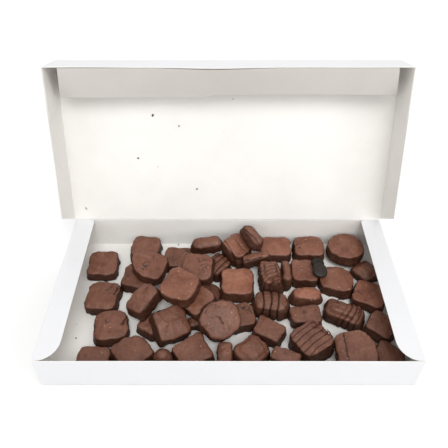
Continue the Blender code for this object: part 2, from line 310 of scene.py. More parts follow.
def paper_group():
    """Pressed fibres: a faint cloudiness, short flecks and a fine tooth."""
    colour, number = "NodeSocketColor", "NodeSocketFloat"
    group, start, end = new_group(
        "Paper Fibre",
        [("Sheet Colour", colour, (0.86, 0.86, 0.86, 1)), ("Fleck Colour", colour, (0.7, 0.68, 0.64, 1)),
         ("Fleck Amount", number, 0.3), ("Cloud Amount", number, 0.04), ("Smoothness", number, 0.5)],
        [("Colour", colour), ("Roughness", number), ("Height", number)])
    where = group.nodes.new("ShaderNodeTexCoord").outputs["Object"]
    cloud = field(group, where, 22.0, 4.0, 0.6)
    fibre = field(group, where, 420.0, 3.0, 0.65, 1.2)
    tooth = field(group, where, 1300.0, 2.0, 0.6)
    fleck = maths(group, "MULTIPLY", spread(group, fibre, 0.60, 0.74), start.outputs["Fleck Amount"])
    flecked = blend_colours(group, fleck, start.outputs["Sheet Colour"], start.outputs["Fleck Colour"])
    shade = maths(group, "MULTIPLY", spread(group, cloud, 0.3, 0.7, -1.0, 1.0),
                  start.outputs["Cloud Amount"])
    cloudy = grey_of(group, maths(group, "ADD", shade, 1.0))
    toned = blend_colours(group, 1.0, flecked, cloudy, "MULTIPLY")
    rough = maths(group, "ADD", start.outputs["Smoothness"], spread(group, fibre, 0.3, 0.7, -0.06, 0.06))
    height = maths(group, "ADD", maths(group, "MULTIPLY", fibre, 0.6), maths(group, "MULTIPLY", tooth, 0.4))
    group.links.new(toned, end.inputs["Colour"])
    group.links.new(rough, end.inputs["Roughness"])
    group.links.new(height, end.inputs["Height"])
    return group


def coating_group():
    """Set chocolate: slow patches, fine mottling, crumb specks, painted shade in the hollows, and the tone
    attribute, which carries painted shade on the sides and foot; the coat is strongest where the tone is
    highest.
    """
    colour, number = "NodeSocketColor", "NodeSocketFloat"
    group, start, end = new_group(
        "Set Chocolate",
        [("Deep Colour", colour, (0.10, 0.04, 0.03, 1)), ("Light Colour", colour, (0.2, 0.09, 0.06, 1)),
         ("Speck Colour", colour, (0.42, 0.26, 0.16, 1)), ("Speck Amount", number, 0.5),
         ("Gloss", number, 0.45)],
        [("Colour", colour), ("Roughness", number), ("Height", number), ("Sheen", number)])
    where = group.nodes.new("ShaderNodeTexCoord").outputs["Object"]
    hollow_shade = add(group, "ShaderNodeAttribute", attribute_name="hollow_shade").outputs["Fac"]
    tone = add(group, "ShaderNodeAttribute", attribute_name="tone").outputs["Fac"]
    patch = field(group, where, 55.0, 3.0, 0.55, 0.4)
    mottle = field(group, where, 330.0, 4.0, 0.62)
    grit = field(group, where, 1150.0, 3.0, 0.6)
    share = maths(group, "ADD", maths(group, "MULTIPLY", patch, 0.7), maths(group, "MULTIPLY", mottle, 0.3))
    base = blend_colours(group, spread(group, share, 0.34, 0.66), start.outputs["Deep Colour"],
                         start.outputs["Light Colour"])
    seed = add(group, "ShaderNodeTexVoronoi", Scale=210.0, Randomness=1.0)
    group.links.new(where, seed.inputs["Vector"])
    near = spread(group, seed.outputs["Distance"], 0.13, 0.07)
    chosen = spread(group, field(group, where, 95.0, 1.0), 0.46, 0.56)
    speck = maths(group, "MULTIPLY", maths(group, "MULTIPLY", near, chosen), start.outputs["Speck Amount"])
    specked = blend_colours(group, speck, base, start.outputs["Speck Colour"])
    toned = blend_colours(group, 1.0, specked, grey_of(group, tone), "MULTIPLY")
    # painted shade: the hollows are darkened down to 0.3 of their colour
    dark = spread(group, hollow_shade, 0.0, 1.0, 1.0, 0.30)
    result = blend_colours(group, 1.0, toned, grey_of(group, dark), "MULTIPLY")
    rough = maths(group, "ADD", start.outputs["Gloss"], spread(group, mottle, 0.35, 0.65, -0.07, 0.09))
    rough = maths(group, "ADD", rough, maths(group, "MULTIPLY", hollow_shade, 0.2), clamp=True)
    height = maths(group, "ADD", maths(group, "MULTIPLY", mottle, 0.7), maths(group, "MULTIPLY", grit, 0.3))
    crumb_height = maths(group, "MULTIPLY", near, maths(group, "MULTIPLY", chosen, 0.25))
    height = maths(group, "ADD", height, crumb_height)
    # the coat follows the tone, so it is strongest on the tops, which the painted side shade leaves
    # lightest
    coat_by_tone = spread(group, tone, 0.55, 0.95, 0.0, 0.75)
    sheen = maths(group, "MULTIPLY", coat_by_tone, spread(group, mottle, 0.3, 0.7, 0.7, 1.0))
    group.links.new(sheen, end.inputs["Sheen"])
    group.links.new(result, end.inputs["Colour"])
    group.links.new(rough, end.inputs["Roughness"])
    group.links.new(height, end.inputs["Height"])
    return group


def material_of(name, group, values, bump, depth, gloss=0.5):
    """A Principled material whose colour, roughness, relief and sheen come from a group."""
    material = bpy.data.materials.new(name)
    material.use_nodes = True
    tree = material.node_tree
    shader = tree.nodes["Principled BSDF"]
    effect = tree.nodes.new("ShaderNodeGroup")
    effect.node_tree = group
    for label, value in values.items():
        effect.inputs[label].default_value = value
    relief = tree.nodes.new("ShaderNodeBump")
    relief.inputs["Strength"].default_value = bump
    relief.inputs["Distance"].default_value = depth
    tree.links.new(effect.outputs["Height"], relief.inputs["Height"])
    tree.links.new(relief.outputs["Normal"], shader.inputs["Normal"])
    tree.links.new(effect.outputs["Colour"], shader.inputs["Base Color"])
    tree.links.new(effect.outputs["Roughness"], shader.inputs["Roughness"])
    shader.inputs["IOR"].default_value = 1.46
    shader.inputs["Specular IOR Level"].default_value = gloss
    if "Sheen" in effect.outputs:
        shader.inputs["Coat Roughness"].default_value = 0.5
        tree.links.new(effect.outputs["Sheen"], shader.inputs["Coat Weight"])
    return material


PAPER = paper_group()
CHOCOLATE = coating_group()
OUTSIDE = material_of("coated_board", PAPER, {
    "Sheet Colour": (0.67, 0.675, 0.69, 1), "Fleck Colour": (0.63, 0.635, 0.65, 1),
    "Fleck Amount": 0.3, "Cloud Amount": 0.012, "Smoothness": 0.42}, 0.10, 0.00008)
INSIDE = material_of("plain_board", PAPER, {
    "Sheet Colour": (0.785, 0.767, 0.738, 1), "Fleck Colour": (0.68, 0.65, 0.60, 1),
    "Fleck Amount": 0.35, "Cloud Amount": 0.03, "Smoothness": 0.68}, 0.25, 0.00012)
# painted shade: the ply is coloured much greyer than the lid's inside, standing for the shade on its
# downward-facing side
SHADED_PLY = material_of("ply_painted_shade", PAPER, {
    "Sheet Colour": (0.60, 0.57, 0.54, 1), "Fleck Colour": (0.51, 0.47, 0.43, 1),
    "Fleck Amount": 0.35, "Cloud Amount": 0.03, "Smoothness": 0.7}, 0.25, 0.00012)
EDGE = material_of("cut_board", PAPER, {
    "Sheet Colour": (0.74, 0.73, 0.71, 1), "Fleck Colour": (0.55, 0.53, 0.50, 1),
    "Fleck Amount": 0.6, "Cloud Amount": 0.05, "Smoothness": 0.8}, 0.4, 0.0002)
MILK = material_of("milk_coating", CHOCOLATE, {
    "Deep Colour": (0.098, 0.0285, 0.0130, 1), "Light Colour": (0.188, 0.0760, 0.0450, 1),
    "Speck Colour": (0.52, 0.33, 0.21, 1), "Speck Amount": 0.85, "Gloss": 0.55}, 0.75, 0.0006, 0.20)
DARK = material_of("dark_coating", CHOCOLATE, {
    "Deep Colour": (0.019, 0.0130, 0.009, 1), "Light Colour": (0.035, 0.0235, 0.017, 1),
    "Speck Colour": (0.12, 0.09, 0.07, 1), "Speck Amount": 0.2, "Gloss": 0.6}, 0.3, 0.0003, 0.3)


# ---------------------------------------------------------------- folded board

def sheet_to_board(name, bm, node):
    """Gives a folded sheet its thickness, inwards, and softens the cut edges. It rides on the
    body of the node's own name."""
    bmesh.ops.recalc_face_normals(bm, faces=bm.faces)
    obj = piece_from(name, bm, (OUTSIDE, INSIDE, EDGE))
    wall = obj.modifiers.new("wall", "SOLIDIFY")
    wall.thickness = BOARD
    wall.offset = -1
    wall.use_even_offset = True
    wall.material_offset = 1
    wall.material_offset_rim = 2
    soft = obj.modifiers.new("soft", "BEVEL")
    soft.width = TRIM
    soft.segments = 1
    soft.limit_method = "ANGLE"
    soft.angle_limit = radians(70)
    apply_modifiers(obj)
    shade_smooth(obj.data)
    obj.data.set_sharp_from_angle(angle=radians(40))
    even = obj.modifiers.new("even_shading", "WEIGHTED_NORMAL")
    even.keep_sharp = True
    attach(obj, node)
    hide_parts(node)


def dust_flap(bm, side):
    """Folds a flap inwards from the top of one end wall, and rounds its free corners."""
    wall, top = side * TRAY_HIGH.x, TRAY_HIGH.z
    edges = [
        edge for edge in bm.edges
        if edge.is_boundary and all(abs(v.co.x - wall) < 1e-6 and v.co.z > top / 2 for v in edge.verts)
    ]
    verts = list(dict.fromkeys(v for edge in edges for v in edge.verts))
    for vert in verts:
        vert.co.z = top - FOLD
    fold = bmesh.ops.spin(
        bm, geom=verts + edges, cent=(wall - side * FOLD, 0, top - FOLD), axis=(0, 1, 0),
        angle=-side * pi / 2, steps=FOLD_STEPS, use_merge=False,
    )
    last = [item for item in fold["geom_last"] if isinstance(item, bmesh.types.BMEdge)]
    grown = bmesh.ops.extrude_edge_only(bm, edges=last)
    tips = [item for item in grown["geom"] if isinstance(item, bmesh.types.BMVert)]
    for vert in tips:
        vert.co.x = side * (TRAY_HIGH.x - DUST_FLAP)
    front = min(tips, key=lambda v: v.co.y)
    back = max(tips, key=lambda v: v.co.y)
    bevel(bm, [back], DUST_FLAP_BACK, 5, "VERTICES")
    bevel(bm, [front], DUST_FLAP_FRONT, 12, "VERTICES")


def make_tray():
    """The tray, its walls folded up and its dust flaps folded in over the ends."""
    bm = block(TRAY_LOW, TRAY_HIGH)
    top = max(bm.faces, key=lambda f: f.calc_center_median().z)
    bmesh.ops.delete(bm, geom=[top], context="FACES_ONLY")
    bevel(bm, [edge for edge in bm.edges if not edge.is_boundary], FOLD, FOLD_STEPS)
    for side in (-1, 1):
        dust_flap(bm, side)
    cut_grid(bm, PANEL_GRID, (0, 1, 2))
    for vert in bm.verts:
        bow(vert)
    sheet_to_board("box_tray", bm, "tray")


def bow(vert):
    """Bows the tray's walls and flaps by a slow wander, least at the floor."""
    most = WALL_BOW * min(1.0, max(0.0, vert.co.z / (30 * MM)))
    where = Vector((vert.co.x * 13, vert.co.y * 17, 0.4))
    drift = Vector((0, noise.noise(where), noise.noise(where + Vector((0, 0, 7)))))
    vert.co.z -= abs(drift.z) * most
    if vert.co.z < TRAY_HIGH.z - 2 * MM and abs(vert.co.x) < TRAY_HIGH.x - 2 * FOLD:
        vert.co.y -= drift.y * most * (1 if vert.co.y > 0 else -1)


def lid_turn():
    """Takes the lid from lying shut about its hinge to standing open over the tray."""
    return Matrix.Translation(HINGE) @ Matrix.Rotation(-LID_OPEN, 4, "X")


def make_lid():
    """The lid, its front and side walls folded down; the side walls are cut back at the hinge."""
    bm = block((-LID_HALF, -LID_REACH, LID_EDGE), (LID_HALF, -HINGE_GAP, LID_TOP))
    low = min(bm.faces, key=lambda f: f.calc_center_median().z)
    rear = max(bm.faces, key=lambda f: f.calc_center_median().y)
    bmesh.ops.delete(bm, geom=[low, rear], context="FACES_ONLY")
    bevel(bm, [edge for edge in bm.edges if not edge.is_boundary], FOLD, FOLD_STEPS)
    slope = Vector((0, LID_WALL, -SIDE_CUT)).normalized()
    cut(bm, (0, -HINGE_GAP, LID_TOP), slope, clear_outer=True)
    cut_grid(bm, PANEL_GRID, (0, 1, 2))
    for vert in bm.verts:
        sag_lid(vert)
    bmesh.ops.transform(bm, matrix=lid_turn(), verts=bm.verts)
    sheet_to_board("box_lid", bm, "lid")


def edge_sag(x):
    """How far the free edge of the lid's front wall sags, most near its middle."""
    return EDGE_SAG * float(bell(np.array((x - SAG_AT) / SAG_HALF)))


def sag_lid(vert):
    """Lets the lid's walls sag and wander a little towards their free edges."""
    share = max(0.0, (LID_TOP - 3 * MM - vert.co.z) / LID_WALL)
    if vert.co.y < -LID_REACH + 2 * MM:
        drift = noise.noise(Vector((vert.co.x * 19, 3.1, 0.7)))
        vert.co.y += (edge_sag(vert.co.x) + EDGE_WANDER * drift) * share
    else:
        drift = noise.noise(Vector((vert.co.y * 21, 1.3, vert.co.x * 9)))
        vert.co.x += SIDE_WANDER * drift * share


def make_glue_tabs():
    """The tabs of the lid's front wall, glued flat inside its side walls."""
    front = -(LID_REACH - BOARD)
    for side, name in ((-1, "glue_tab_left"), (1, "glue_tab_right")):
        inner = side * (LID_HALF - BOARD - TAB_BOARD)
        outer = side * (LID_HALF - BOARD - TAB_GAP)
        bm = block((min(inner, outer), front, LID_EDGE + TAB_SHORT),
                   (max(inner, outer), front + GLUE_TAB, LID_TOP - BOARD))
        for vert in bm.verts:
            if vert.co.y > front + GLUE_TAB / 2 and vert.co.z > LID_EDGE / 2:
                vert.co.y -= TAB_SLANT
        cut_grid(bm, TAB_GRID, (1, 2))
        for vert in bm.verts:
            loose = max(0.0, (vert.co.y - front) / GLUE_TAB - TAB_HELD)
            vert.co.x -= side * loose * loose * TAB_CURL
        bmesh.ops.transform(bm, matrix=lid_turn(), verts=bm.verts)
        bmesh.ops.recalc_face_normals(bm, faces=bm.faces)
        tab = piece_from(name, bm, (INSIDE,))
        soft = tab.modifiers.new("soft", "BEVEL")
        soft.width = TAB_TRIM
        soft.segments = 1
        soft.limit_method = "ANGLE"
        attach(tab, "lid")


def make_lid_flap():
    """The springy inner ply on the free edge of the lid's front wall; its board is coloured with painted
    shade.
    """
    half, spread_out = FLAP_AT_FOLD / 2, (FLAP_AT_EDGE - FLAP_AT_FOLD) / 2
    bm = bmesh.new()
    bmesh.ops.create_grid(bm, x_segments=1, y_segments=1, size=0.5)
    bmesh.ops.rotate(bm, matrix=Matrix.Rotation(pi / 2, 3, "X"), verts=bm.verts)
    for vert in bm.verts:
        side = 1 if vert.co.x > 0 else -1
        if vert.co.z > 0:
            vert.co = Vector((side * (half + spread_out), 0, FLAP_LONG))
        else:
            vert.co = Vector((side * half, 0, FLAP_START))
    corners = [v for v in bm.verts if v.co.z > FLAP_LONG / 2]
    bevel(bm, corners, FLAP_CORNER, 3, "VERTICES")
    for place in (FLAP_SPLIT - FLAP_STEP, FLAP_SPLIT + FLAP_STEP):
        cut(bm, (place, 0, 0), (1, 0, 0))
    for vert in bm.verts:
        if vert.co.x > FLAP_SPLIT:
            vert.co.z *= FLAP_SHORT / FLAP_LONG
    cut_grid(bm, PANEL_GRID, (0, 2))
    for vert in bm.verts:
        share = vert.co.z / FLAP_LONG
        drift = noise.noise(Vector((vert.co.x * 14, 0.3, vert.co.z * 20)))
        vert.co.y += (FLAP_WANDER * drift - FLAP_BOW * share * (1 - share)) * share
        follow = FLAP_FOLLOWS * edge_sag(vert.co.x) * (1 - share)
        vert.co += Vector((0, cos(FLAP_OPEN), sin(FLAP_OPEN))) * follow
    turn = lid_turn() @ Matrix.Translation(CREASE) @ Matrix.Rotation(-FLAP_OPEN, 4, "X")
    bmesh.ops.transform(bm, matrix=turn, verts=bm.verts)
    bmesh.ops.recalc_face_normals(bm, faces=bm.faces)
    flap = piece_from("box_lid_flap", bm, (SHADED_PLY,))
    wall = flap.modifiers.new("wall", "SOLIDIFY")
    wall.thickness = FLAP_BOARD
    wall.offset = 0
    apply_modifiers(flap)
    shade_smooth(flap.data)
    flap.data.set_sharp_from_angle(angle=radians(40))
    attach(flap, "lid_flap")
    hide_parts("lid_flap")


# ---------------------------------------------------------------- sweets

# What each sweet shows, one entry for a sweet: how light its coating is, and its marks.
# Places run from -1 to 1 across the sweet's own box, from left to right and from front to
# back; sizes, depths and heights are millimetres; angles are degrees, seen from above.
#   pit (x, y, size, depth)            a hollow in the top
#   bump (x, y, size, height)          a swelling of the top
#   crack (x, y, x, y, width, depth)   a narrow ragged split
#   ridge (x, y, x, y, width, height)  a raised line
#   waist (angle, spread, depth)       the side drawn in
#   bulge (angle, spread, height)      the side swelling out
#   slope (x, y, angle, depth)         the top beyond a line, on the angle's side, falls away
#   grow (height)                      a thicker coat all round
#   melt (rounds)                      rounder edges
#   ribs (angle, spacing, width, depth, first, last, bend, down)  bands of drizzle with a dark
#       groove between each two; down is how much of them runs on down the sides
SWEETS = {
    "brownie_01": (1.08, [
        ("waist", 262, 15, 0.3), ("bulge", 287, 13, 0.6), ("pit", 0.62, -0.98, 2.6, 1.2),
        ("bump", 0.82, -0.85, 3.0, 0.8), ("pit", -0.1, -0.3, 1.0, 0.4), ("bulge", 225, 14, 0.5),
    ]),
    "brownie_02": (1.0, [
        ("crack", 0.16, 0.28, 0.36, 0.34, 0.9, 0.9), ("crack", 0.42, 0.42, 0.5, 0.7, 1.3, 1.0),
        ("crack", 0.84, 0.5, 0.8, 0.0, 1.7, 1.9), ("pit", 0.38, -0.16, 1.0, 0.9),
        ("pit", 0.4, -0.36, 0.8, 0.5), ("waist", 2, 12, 1.0), ("waist", 262, 20, 0.8),
        ("slope", -0.2, 0.55, 130, 0.9),
    ]),
    "brownie_03": (1.0, [
        ("crack", -0.38, 0.32, -0.24, 0.1, 1.1, 1.2), ("crack", -0.24, 0.1, -0.08, 0.16, 0.9, 1.0),
        ("crack", -0.9, -0.1, -0.86, -0.42, 1.5, 1.8), ("crack", 0.62, -0.02, 0.84, 0.5, 2.0, 1.5),
        ("waist", 192, 10, 1.0), ("waist", 12, 14, 0.9), ("bump", 0.1, -0.75, 6, 0.5),
    ]),
    "brownie_04": (0.92, [("pit", -0.5, 0.2, 3, 0.4), ("bump", 0.7, 0.3, 4, 0.5)]),
    "brownie_05": (0.86, [
        ("bump", 0, 0.1, 8, 0.8), ("ridge", 0.0, 0.9, 0.1, 0.1, 3, 0.6), ("slope", 0.1, 0, 330, 1.0),
        ("waist", 90, 22, 4.0),
    ]),
    "brownie_06": (1.0, [("ridge", -0.6, 0.1, 0.9, 0.1, 2.2, 0.5), ("bulge", 190, 20, 0.9)]),
    "brownie_07": (0.86, [("pit", 0.3, -0.1, 6, 0.5)]),
    "brownie_08": (0.86, [("ridge", -0.3, 0.4, 0.3, -0.5, 2.5, 0.6)]),
    "brownie_09": (0.97, [
        ("pit", 0.55, 0.55, 3.0, 1.2), ("pit", 0.7, 0.4, 2.0, 0.9), ("pit", -0.5, -0.2, 5, 0.4),
    ]),
    "bar_01": (0.8, [("melt", 4), ("grow", 0.8)]),
    "cookie_01": (0.7, [("melt", 2), ("grow", 1.4)]),
    "brownie_10": (0.85, [
        ("pit", 0.2, 0.5, 2.4, 1.6), ("pit", 0.44, 0.3, 1.6, 1.2), ("pit", -0.2, 0.25, 1.6, 0.9),
        ("bulge", 20, 20, 0.8), ("crack", 0.5, 0.6, 0.7, 0.1, 1.2, 0.8),
    ]),
    "brownie_11": (1.42, [
        ("pit", -0.12, -0.08, 1.3, 1.1), ("ridge", 0.1, -0.2, 0.5, 0.1, 0.8, 0.45),
        ("ridge", 0.5, 0.1, 0.62, -0.2, 0.8, 0.35), ("bump", -0.4, 0.3, 5, 0.4),
    ]),
    "brownie_12": (1.25, [
        ("pit", -0.78, 0.5, 1.8, 1.6), ("pit", -0.82, 0.14, 1.5, 1.5), ("pit", -0.7, -0.2, 1.7, 1.4),
        ("pit", -0.62, 0.1, 0.8, 0.9), ("pit", 0.3, 0.5, 1.0, 0.5), ("bump", 0.2, -0.3, 6, 0.3),
    ]),
    "brownie_13": (1.15, [
        ("crack", -0.3, 0.0, -0.1, 0.14, 0.9, 0.5), ("crack", 0.42, 0.2, 0.7, 0.5, 1.0, 0.8),
        ("pit", -0.3, 0.85, 1.4, 0.6), ("waist", 268, 22, 0.7),
    ]),
    "brownie_14": (1.0, [
        ("melt", 8), ("grow", 0.4), ("ridge", -0.2, 0.2, 0.5, -0.3, 3, 0.8), ("slope", 0, -0.1, 300, 1.0),
    ]),
    "brownie_15": (1.32, [
        ("pit", -0.86, 0.1, 2.0, 1.3), ("crack", -0.6, 0.1, -0.4, -0.1, 1.0, 0.8),
        ("bump", 0.1, -0.1, 9, 0.5), ("slope", 0.3, 0.2, 20, 0.8),
    ]),
    "brownie_16": (1.0, [
        ("pit", -0.25, 0.2, 1.4, 0.9), ("pit", -0.35, -0.1, 1.0, 0.5), ("bump", 0.2, -0.1, 7, 0.5),
    ]),
    "cookie_02": (1.16, [
        ("crack", -0.55, 0.72, 0.0, 0.84, 1.5, 0.8), ("waist", 240, 20, 0.8), ("pit", -0.7, 0.5, 2.0, 0.7),
        ("bulge", 300, 20, 0.7),
    ]),
    "barrel_01": (0.9, [
        ("melt", 4), ("grow", 0.2), ("ribs", -4, 7.6, 1.25, 1.9, -14, 14, 0.012, 1.0),
        ("bump", -0.3, 0.3, 4, 0.5), ("bump", 0.12, 0.2, 4, 0.5), ("pit", 0.8, 0.0, 3, 0.7),
    ]),
    "finger_01": (1.62, [("melt", 5), ("grow", 0.3), ("ridge", -0.8, -0.5, 0.8, -0.55, 1.0, 0.5)]),
    "brownie_17": (0.92, [
        ("bump", -0.5, 0.4, 4, 0.9), ("bump", 0.3, 0.2, 5, 0.9), ("pit", -0.1, 0.1, 3, 0.9),
        ("pit", 0.7, 0.4, 2, 1.2), ("ridge", -0.2, 0.7, 0.3, 0.4, 1.2, 0.6),
    ]),
    "brownie_18": (0.92, [
        ("ridge", -0.4, 0.8, 0.9, 0.2, 2.2, 0.6), ("pit", 0.2, 0.5, 1.2, 0.6),
        ("bump", -0.1, 0.5, 1.2, 0.6),
    ]),
    "brownie_19": (0.85, [("melt", 40), ("grow", 2.6)]),
    "bar_02": (0.92, [
        ("grow", 0.9), ("bump", 0, 0.2, 4, 1.0), ("pit", 0.3, 0.0, 2, 1.2), ("pit", -0.2, -0.3, 1.5, 0.9),
        ("pit", -0.1, 0.6, 2, 0.8),
    ]),
    "brownie_20": (0.87, [("grow", 0.5), ("crack", -0.5, 0.3, -0.45, -0.7, 0.9, 0.6)]),
    "striped_01": (0.86, [("ribs", 142, 6.2, 1.0, 1.5, -30, 30, 0.004, 0.8)]),
    "brownie_21": (1.62, [("bump", -0.1, 0.0, 12, 0.4), ("pit", -0.35, -0.92, 1.2, 0.5)]),
    "striped_02": (1.08, [
        ("melt", 10), ("grow", 0.5), ("ribs", 110, 4.4, 0.95, 1.2, -30, 30, 0.018, 0.9),
        ("pit", 0.35, -0.86, 3.0, 2.4), ("ridge", 0.05, -0.75, 0.5, -0.6, 1.4, 1.8),
        ("ridge", 0.5, -0.6, 0.75, -0.85, 1.4, 1.8),
    ]),
    "finger_02": (1.0, [("melt", 5), ("grow", 0.3), ("bump", 0, 0.4, 5, 0.5), ("waist", 180, 12, 0.6)]),
    "striped_03": (0.92, [
        ("melt", 10), ("grow", 0.5), ("ribs", -34, 5.2, 1.0, 1.5, 0, 17, 0.02, 0.9),
        ("bump", -0.5, -0.1, 6, 1.3), ("bump", -0.2, 0.3, 5, 1.0), ("pit", -0.35, 0.15, 3, 0.9),
        ("bump", 0.0, -0.5, 4, 0.9), ("pit", -0.1, 0.0, 2, 0.8),
    ]),
    "cookie_03": (1.15, [
        ("pit", -0.5, 0.1, 1.3, 0.9), ("pit", -0.4, 0.45, 1.2, 0.8), ("pit", -0.32, -0.1, 1.0, 0.7),
        ("waist", 240, 26, 1.2), ("bulge", 200, 20, 0.6), ("bump", 0.1, 0.0, 12, 0.4),
    ]),
    "brownie_22": (1.0, [
        ("melt", 9), ("grow", 0.5), ("ridge", -0.1, 0.9, 0.05, 0.1, 3, 0.9),
        ("ridge", 0.18, -0.05, 0.34, -0.9, 0.9, 0.5), ("pit", -0.15, -0.05, 1.3, 1.0),
        ("ridge", 0.05, 0.1, 0.8, -0.1, 3, 0.8), ("pit", -0.3, -0.4, 0.9, 0.8),
        ("slope", 0.2, 0.1, 20, 1.4), ("slope", -0.3, 0.1, 200, 1.2),
    ]),
    "brownie_23": (0.96, [
        ("bump", 0.5, 0.1, 3, 0.7), ("bump", -0.4, 0.5, 4, 0.6), ("pit", 0.0, 0.2, 3, 0.6),
    ]),
    "brownie_24": (1.0, [
        ("ridge", 0.35, 0.8, 0.85, -0.5, 3, 0.8), ("pit", 0.8, -0.5, 1.8, 0.9),
        ("slope", 0.55, 0, 350, 1.2), ("pit", -0.05, -0.5, 1.0, 0.5),
    ]),
    "brownie_25": (0.96, [
        ("crack", -0.56, 0.95, -0.54, -1.0, 0.9, 1.5), ("pit", -0.84, -0.2, 1.3, 0.8),
        ("bump", -0.8, 0.3, 3, 0.5), ("waist", 46, 26, 4.5),
    ]),
    "chip_01": (0.6, [("pit", 0, 0, 2.5, 0.5)]),
    "chip_02": (0.65, [("bump", 0, 0, 3, 0.4)]),
    "brownie_26": (0.95, [
        ("melt", 4), ("grow", 1.4), ("ridge", -0.3, 0.4, 0.3, 0.75, 2.2, 1.1),
        ("bump", 0.2, 0.3, 3.4, 1.1), ("bump", -0.35, 0.1, 3, 1.0), ("pit", 0.72, 0.3, 1.8, 1.3),
        ("bump", 0.3, -0.6, 2.2, 1.5), ("pit", 0.0, -0.1, 3, 1.0), ("pit", 0.15, -0.55, 1.6, 1.2),
        ("bulge", 145, 34, 2.6), ("bulge", 330, 16, 1.2), ("bump", -0.5, -0.5, 3, 0.8),
    ]),
    "brownie_27": (0.9, [
        ("melt", 3), ("grow", 0.4), ("ridge", -0.75, 0.25, -0.1, -0.3, 2.4, 1.0),
        ("ridge", -0.1, -0.3, 0.75, 0.2, 2.4, 1.0), ("pit", 0.6, -0.05, 1.4, 0.9),
        ("slope", -0.1, -0.25, 285, 2.4), ("slope", 0.5, 0.3, 45, 1.4), ("waist", 270, 12, 1.2),
        ("pit", -0.1, 0.3, 1.0, 0.8), ("slope", -0.5, 0.1, 200, 1.2),
    ]),
    "brownie_28": (1.1, [
        ("pit", -0.14, -0.18, 3.6, 1.8), ("pit", -0.26, -0.44, 2.4, 1.1), ("pit", 0.24, 0.33, 1.2, 1.5),
        ("ridge", -0.7, 0.55, 0.1, 0.42, 2.0, 0.8), ("waist", 214, 30, 5.0), ("bulge", 158, 14, 1.4),
        ("pit", 0.0, 0.05, 2.0, 0.9), ("bump", 0.3, -0.4, 6, 0.5),
    ]),
    "brownie_29": (1.08, [
        ("crack", 0.0, 0.42, 0.1, 0.2, 1.0, 1.0), ("crack", 0.16, 0.16, 0.42, 0.3, 0.8, 0.7),
        ("pit", 0.22, -0.05, 1.6, 1.1), ("pit", 0.4, -0.2, 1.8, 1.2), ("pit", 0.3, -0.35, 1.2, 0.9),
        ("waist", 270, 20, 0.8), ("ridge", 0.1, -0.25, 0.5, -0.5, 1.0, 0.7),
    ]),
    "brownie_30": (1.1, [
        ("crack", -0.3, 0.3, 0.0, -0.1, 0.7, 0.5), ("crack", 0.1, 0.3, 0.4, 0.1, 0.7, 0.4),
        ("ridge", -0.9, -0.2, 0.1, -0.9, 1.4, 0.6), ("slope", 0, 0.3, 80, 0.8),
    ]),
    "finger_03": (0.98, [
        ("melt", 4), ("grow", 0.3), ("waist", 110, 20, 0.6), ("bump", -0.6, 0.0, 4, 0.4),
        ("pit", -0.85, -0.3, 2.0, 1.0),
    ]),
    "striped_04": (1.2, [
        ("grow", 0.6), ("ribs", 212, 5.0, 1.0, 1.6, 7.5, 30, 0.006, 1.0),
        ("crack", 0.0, 0.35, 0.3, -0.12, 0.8, 0.9), ("crack", 0.35, -0.05, 0.6, -0.35, 0.8, 0.9),
        ("bump", -0.2, 0.2, 5, 0.7), ("slope", -0.3, 0.2, 322, 4.5),
    ]),
    "finger_04": (0.96, [
        ("melt", 6), ("grow", 0.4), ("crack", -0.9, 0.55, 0.75, -0.95, 1.3, 1.6),
        ("crack", -0.55, 0.9, 0.95, -0.45, 0.9, 0.9), ("crack", -0.8, 0.1, 0.3, -1.0, 0.7, 0.7),
    ]),
    "bar_03": (1.15, [
        ("crack", -0.95, -0.75, 0.95, -0.55, 1.2, 1.3), ("bump", 0.5, 0.4, 2.4, 0.7),
        ("bump", -0.2, 0.3, 3, 0.6), ("pit", 0.2, -0.2, 1.4, 0.7),
    ]),
    "brownie_31": (1.25, [
        ("melt", 2), ("grow", 0.3), ("bump", 0.35, 0.0, 4, 0.6), ("bump", -0.3, 0.5, 5, 0.5),
        ("bump", -0.2, -0.4, 6, 0.5), ("pit", 0.1, 0.3, 5, 0.4), ("bump", 0.6, -0.4, 2.5, 0.6),
        ("bulge", 235, 26, 2.6), ("bulge", 275, 12, 0.8),
    ]),
    "cookie_04": (0.9, [
        ("crack", -0.02, -0.12, 0.18, -0.36, 1.1, 1.2), ("crack", -0.16, -0.04, 0.02, -0.1, 0.8, 0.9),
        ("pit", -0.42, 0.42, 0.9, 1.0), ("pit", -0.25, 0.5, 0.9, 1.0), ("pit", -0.02, 0.4, 0.8, 0.9),
        ("pit", 0.3, 0.42, 0.8, 0.8), ("pit", 0.55, 0.38, 0.8, 0.8), ("bump", 0.2, 0.33, 1.6, 0.7),
        ("crack", -0.72, 0.2, -0.68, 0.02, 0.9, 1.0), ("pit", -0.78, 0.3, 0.9, 0.9),
        ("pit", 0.1, 0.1, 0.9, 0.5), ("bulge", 195, 14, 1.5), ("waist", 160, 14, 1.2),
        ("waist", 322, 12, 1.3), ("waist", 230, 14, 1.1), ("bulge", 275, 14, 0.8), ("waist", 60, 12, 0.8),
    ]),
    "striped_05": (0.9, [
        ("ribs", 129, 5.7, 0.8, 1.2, -12, 13, 0.002, 0.3), ("pit", 0.5, 0.72, 2.4, 1.8),
        ("pit", 0.8, 0.45, 2.0, 1.6), ("bump", 0.1, -0.8, 3, 0.8), ("pit", 0.5, -0.8, 2, 1.0),
    ]),
}

